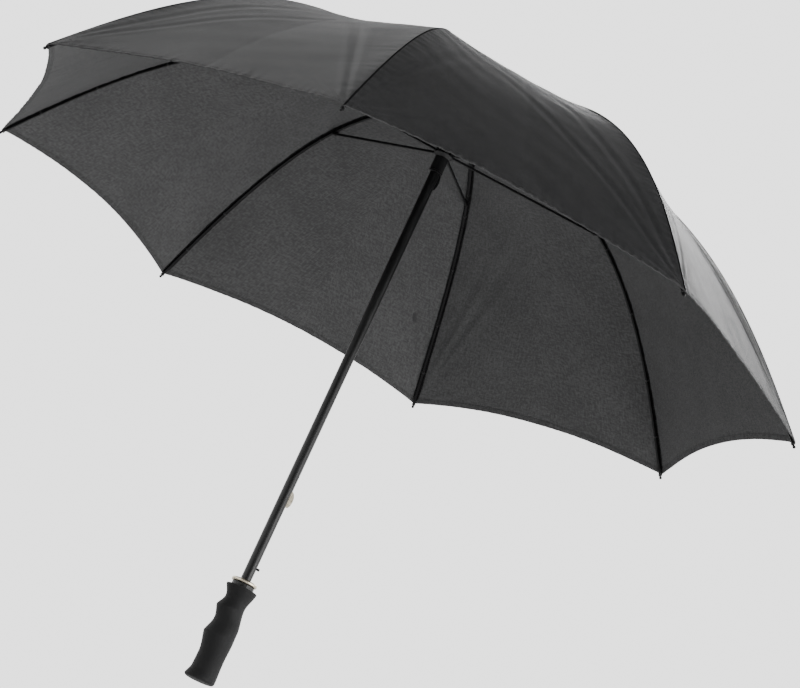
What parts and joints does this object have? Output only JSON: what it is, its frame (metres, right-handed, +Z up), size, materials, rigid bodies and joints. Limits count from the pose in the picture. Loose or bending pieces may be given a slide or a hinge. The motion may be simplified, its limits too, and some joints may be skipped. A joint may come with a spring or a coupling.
{
  "type": "golf umbrella",
  "caption": "Open golf umbrella with a black ribbed cloth canopy, straight shaft, sliding runner, two leaf catches and a ridged foam grip.",
  "frame": {"origin": "centre of the handle's flat butt", "axes": "+Z up the shaft from the handle to the ferrule, +X along rib 1"},
  "size_m": [1.3036, 1.3036, 1.02],
  "materials": {
    "cloth": "tight plain-weave black cloth with a faint sheen",
    "ribs": "black glass-fibre rod, satin",
    "shaft": "black painted glass-fibre tube, semi-gloss",
    "plastic": "moulded black nylon, satin",
    "grip": "matte black foam rubber",
    "pale_metal": "warm pale nickel, fine brushed",
    "black_metal": "black painted spring steel",
    "steel": "plain bright steel"
  },
  "bodies": {
    "frame": {"shaft": "shaft", "handle_core": "plastic", "handle_grip": "grip", "handle_ring": "pale_metal", "stop_pin": "plastic", "top_stop": "plastic", "notch": "plastic", "notch_wire": "steel", "crown_cap": "cloth", "ferrule": "plastic"},
    "rib_1": {"rib_inner_1": "ribs"},
    "rib_end_1": {"rib_outer_1": "ribs", "rib_tip_1": "steel", "canopy_1": "cloth"},
    "arm_1": {"stretcher_1": "ribs"},
    "rib_2": {"rib_inner_2": "ribs"},
    "rib_end_2": {"rib_outer_2": "ribs", "rib_tip_2": "steel", "canopy_2": "cloth"},
    "arm_2": {"stretcher_2": "ribs"},
    "rib_3": {"rib_inner_3": "ribs"},
    "rib_end_3": {"rib_outer_3": "ribs", "rib_tip_3": "steel", "canopy_3": "cloth"},
    "arm_3": {"stretcher_3": "ribs"},
    "rib_4": {"rib_inner_4": "ribs"},
    "rib_end_4": {"rib_outer_4": "ribs", "rib_tip_4": "steel", "canopy_4": "cloth"},
    "arm_4": {"stretcher_4": "ribs"},
    "rib_5": {"rib_inner_5": "ribs"},
    "rib_end_5": {"rib_outer_5": "ribs", "rib_tip_5": "steel", "canopy_5": "cloth"},
    "arm_5": {"stretcher_5": "ribs"},
    "rib_6": {"rib_inner_6": "ribs"},
    "rib_end_6": {"rib_outer_6": "ribs", "rib_tip_6": "steel", "canopy_6": "cloth", "tie_strap": "cloth", "strap_snap": "steel"},
    "arm_6": {"stretcher_6": "ribs"},
    "rib_7": {"rib_inner_7": "ribs"},
    "rib_end_7": {"rib_outer_7": "ribs", "rib_tip_7": "steel", "canopy_7": "cloth"},
    "arm_7": {"stretcher_7": "ribs"},
    "rib_8": {"rib_inner_8": "ribs"},
    "rib_end_8": {"rib_outer_8": "ribs", "rib_tip_8": "steel", "canopy_8": "cloth"},
    "arm_8": {"stretcher_8": "ribs"},
    "runner": {"runner": "plastic", "runner_wire": "steel"},
    "bottom_catch": {"bottom_catch": "pale_metal"},
    "top_catch": {"top_catch": "black_metal"}
  },
  "joints": [
    {"name": "rib_fold_1", "type": "hinge", "parent": "frame", "child": "rib_1", "pos_m": [0.0125, 0, 0.965], "axis": [0, 1, 0], "range_deg": [0, 79.2], "deforming": ["canopy_1"]},
    {"name": "rib_flex_1", "type": "hinge", "parent": "rib_1", "child": "rib_end_1", "pos_m": [0.32551, 0, 0.92473], "axis": [0, 1, 0], "range_deg": [-28.81, 0]},
    {"name": "stretcher_swing_1", "type": "hinge", "parent": "rib_1", "child": "arm_1", "pos_m": [0.32368, 0, 0.92007], "axis": [0, 1, 0], "range_deg": [-158.4, 0]},
    {"name": "rib_fold_2", "type": "hinge", "parent": "frame", "child": "rib_2", "pos_m": [0.00884, 0.00884, 0.965], "axis": [-0.7071, 0.7071, 0], "range_deg": [0, 79.2], "deforming": ["canopy_2"]},
    {"name": "rib_flex_2", "type": "hinge", "parent": "rib_2", "child": "rib_end_2", "pos_m": [0.23017, 0.23017, 0.92473], "axis": [-0.7071, 0.7071, 0], "range_deg": [-28.81, 0]},
    {"name": "stretcher_swing_2", "type": "hinge", "parent": "rib_2", "child": "arm_2", "pos_m": [0.22888, 0.22888, 0.92007], "axis": [-0.7071, 0.7071, 0], "range_deg": [-158.4, 0]},
    {"name": "rib_fold_3", "type": "hinge", "parent": "frame", "child": "rib_3", "pos_m": [0, 0.0125, 0.965], "axis": [-1, 0, 0], "range_deg": [0, 79.2], "deforming": ["canopy_3"]},
    {"name": "rib_flex_3", "type": "hinge", "parent": "rib_3", "child": "rib_end_3", "pos_m": [0, 0.32551, 0.92473], "axis": [-1, 0, 0], "range_deg": [-28.81, 0]},
    {"name": "stretcher_swing_3", "type": "hinge", "parent": "rib_3", "child": "arm_3", "pos_m": [0, 0.32368, 0.92007], "axis": [-1, 0, 0], "range_deg": [-158.4, 0]},
    {"name": "rib_fold_4", "type": "hinge", "parent": "frame", "child": "rib_4", "pos_m": [-0.00884, 0.00884, 0.965], "axis": [-0.7071, -0.7071, 0], "range_deg": [0, 79.2], "deforming": ["canopy_4"]},
    {"name": "rib_flex_4", "type": "hinge", "parent": "rib_4", "child": "rib_end_4", "pos_m": [-0.23017, 0.23017, 0.92473], "axis": [-0.7071, -0.7071, 0], "range_deg": [-28.81, 0]},
    {"name": "stretcher_swing_4", "type": "hinge", "parent": "rib_4", "child": "arm_4", "pos_m": [-0.22888, 0.22888, 0.92007], "axis": [-0.7071, -0.7071, 0], "range_deg": [-158.4, 0]},
    {"name": "rib_fold_5", "type": "hinge", "parent": "frame", "child": "rib_5", "pos_m": [-0.0125, 0, 0.965], "axis": [0, -1, 0], "range_deg": [0, 79.2], "deforming": ["canopy_5"]},
    {"name": "rib_flex_5", "type": "hinge", "parent": "rib_5", "child": "rib_end_5", "pos_m": [-0.32551, 0, 0.92473], "axis": [0, -1, 0], "range_deg": [-28.81, 0]},
    {"name": "stretcher_swing_5", "type": "hinge", "parent": "rib_5", "child": "arm_5", "pos_m": [-0.32368, 0, 0.92007], "axis": [0, -1, 0], "range_deg": [-158.4, 0]},
    {"name": "rib_fold_6", "type": "hinge", "parent": "frame", "child": "rib_6", "pos_m": [-0.00884, -0.00884, 0.965], "axis": [0.7071, -0.7071, 0], "range_deg": [0, 79.2], "deforming": ["canopy_6", "tie_strap"]},
    {"name": "rib_flex_6", "type": "hinge", "parent": "rib_6", "child": "rib_end_6", "pos_m": [-0.23017, -0.23017, 0.92473], "axis": [0.7071, -0.7071, 0], "range_deg": [-28.81, 0]},
    {"name": "stretcher_swing_6", "type": "hinge", "parent": "rib_6", "child": "arm_6", "pos_m": [-0.22888, -0.22888, 0.92007], "axis": [0.7071, -0.7071, 0], "range_deg": [-158.4, 0]},
    {"name": "rib_fold_7", "type": "hinge", "parent": "frame", "child": "rib_7", "pos_m": [0, -0.0125, 0.965], "axis": [1, 0, 0], "range_deg": [0, 79.2], "deforming": ["canopy_7"]},
    {"name": "rib_flex_7", "type": "hinge", "parent": "rib_7", "child": "rib_end_7", "pos_m": [0, -0.32551, 0.92473], "axis": [1, 0, 0], "range_deg": [-28.81, 0]},
    {"name": "stretcher_swing_7", "type": "hinge", "parent": "rib_7", "child": "arm_7", "pos_m": [0, -0.32368, 0.92007], "axis": [1, 0, 0], "range_deg": [-158.4, 0]},
    {"name": "rib_fold_8", "type": "hinge", "parent": "frame", "child": "rib_8", "pos_m": [0.00884, -0.00884, 0.965], "axis": [0.7071, 0.7071, 0], "range_deg": [0, 79.2], "deforming": ["canopy_8"]},
    {"name": "rib_flex_8", "type": "hinge", "parent": "rib_8", "child": "rib_end_8", "pos_m": [0.23017, -0.23017, 0.92473], "axis": [0.7071, 0.7071, 0], "range_deg": [-28.81, 0]},
    {"name": "stretcher_swing_8", "type": "hinge", "parent": "rib_8", "child": "arm_8", "pos_m": [0.22888, -0.22888, 0.92007], "axis": [0.7071, 0.7071, 0], "range_deg": [-158.4, 0]},
    {"name": "runner_slide", "type": "hinge", "parent": "arm_1", "child": "runner", "pos_m": [0.0125, 0, 0.87515], "axis": [0, 1, 0], "range_deg": [0, 79.2]},
    {"name": "bottom_catch_press", "type": "slide", "parent": "frame", "child": "bottom_catch", "axis": [0.9239, -0.3827, 0], "range_m": [0, 0.0055], "stiffness_N_per_m": 400},
    {"name": "top_catch_press", "type": "slide", "parent": "frame", "child": "top_catch", "axis": [0.9239, -0.3827, 0], "range_m": [0, 0.0055], "stiffness_N_per_m": 400}
  ],
  "couplings": [
    {"joint": "rib_flex_1", "follows": "rib_fold_1", "ratio": -0.3636},
    {"joint": "stretcher_swing_1", "follows": "rib_fold_1", "ratio": -2},
    {"joint": "rib_fold_2", "follows": "rib_fold_1", "ratio": 1},
    {"joint": "rib_flex_2", "follows": "rib_fold_1", "ratio": -0.3636},
    {"joint": "stretcher_swing_2", "follows": "rib_fold_1", "ratio": -2},
    {"joint": "rib_fold_3", "follows": "rib_fold_1", "ratio": 1},
    {"joint": "rib_flex_3", "follows": "rib_fold_1", "ratio": -0.3636},
    {"joint": "stretcher_swing_3", "follows": "rib_fold_1", "ratio": -2},
    {"joint": "rib_fold_4", "follows": "rib_fold_1", "ratio": 1},
    {"joint": "rib_flex_4", "follows": "rib_fold_1", "ratio": -0.3636},
    {"joint": "stretcher_swing_4", "follows": "rib_fold_1", "ratio": -2},
    {"joint": "rib_fold_5", "follows": "rib_fold_1", "ratio": 1},
    {"joint": "rib_flex_5", "follows": "rib_fold_1", "ratio": -0.3636},
    {"joint": "stretcher_swing_5", "follows": "rib_fold_1", "ratio": -2},
    {"joint": "rib_fold_6", "follows": "rib_fold_1", "ratio": 1},
    {"joint": "rib_flex_6", "follows": "rib_fold_1", "ratio": -0.3636},
    {"joint": "stretcher_swing_6", "follows": "rib_fold_1", "ratio": -2},
    {"joint": "rib_fold_7", "follows": "rib_fold_1", "ratio": 1},
    {"joint": "rib_flex_7", "follows": "rib_fold_1", "ratio": -0.3636},
    {"joint": "stretcher_swing_7", "follows": "rib_fold_1", "ratio": -2},
    {"joint": "rib_fold_8", "follows": "rib_fold_1", "ratio": 1},
    {"joint": "rib_flex_8", "follows": "rib_fold_1", "ratio": -0.3636},
    {"joint": "stretcher_swing_8", "follows": "rib_fold_1", "ratio": -2},
    {"joint": "runner_slide", "follows": "rib_fold_1", "ratio": 1}
  ]
}
